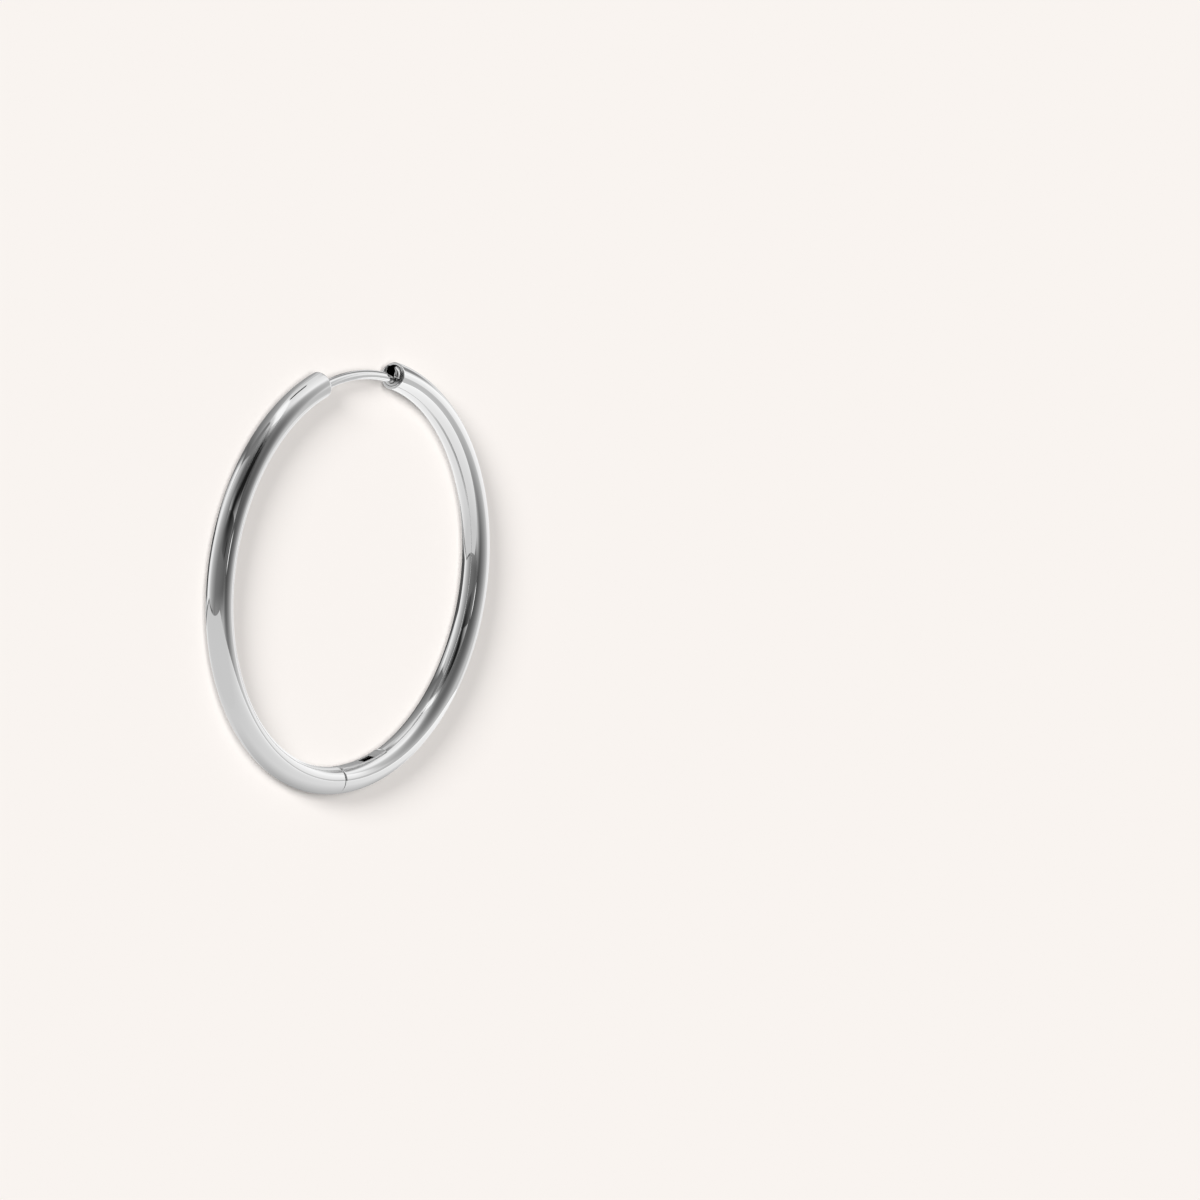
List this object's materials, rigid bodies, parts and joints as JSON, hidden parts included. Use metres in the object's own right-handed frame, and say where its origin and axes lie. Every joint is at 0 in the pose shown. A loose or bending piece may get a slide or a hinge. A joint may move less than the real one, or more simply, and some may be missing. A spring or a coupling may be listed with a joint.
{
  "type": "hoop earring",
  "caption": "Hinged hoop earring of round polished steel tube, with a hollow front half carrying a curved ear post and a swinging back half with a slotted catch.",
  "frame": {"origin": "middle of the footprint of the hoop lying on its side, on the surface that it lies on", "axes": "+Z along the hoop's own axis, upwards; +Y from the hinge to the ear gap; +X towards the half that swings open"},
  "size_m": [0.04, 0.0393, 0.0025],
  "materials": {
    "polished_tube": "mirror polished steel",
    "post_wire": "polished wire",
    "catch_steel": "plain, lightly polished",
    "hinge_steel": "plain",
    "brushed_leaf": "fine lengthwise brushing"
  },
  "bodies": {
    "front": {"front_half": "polished_tube", "ear_post": "post_wire", "hinge_tongue": "hinge_steel"},
    "back": {"back_half": "polished_tube", "catch_fork": "catch_steel", "hinge_leaf": "brushed_leaf", "hinge_pin": "hinge_steel"}
  },
  "joints": [
    {"name": "hinge", "type": "hinge", "parent": "front", "child": "back", "pos_m": [0.0016, -0.01886, 0.00125], "axis": [0, 0, -1], "range_deg": [0, 25]}
  ]
}
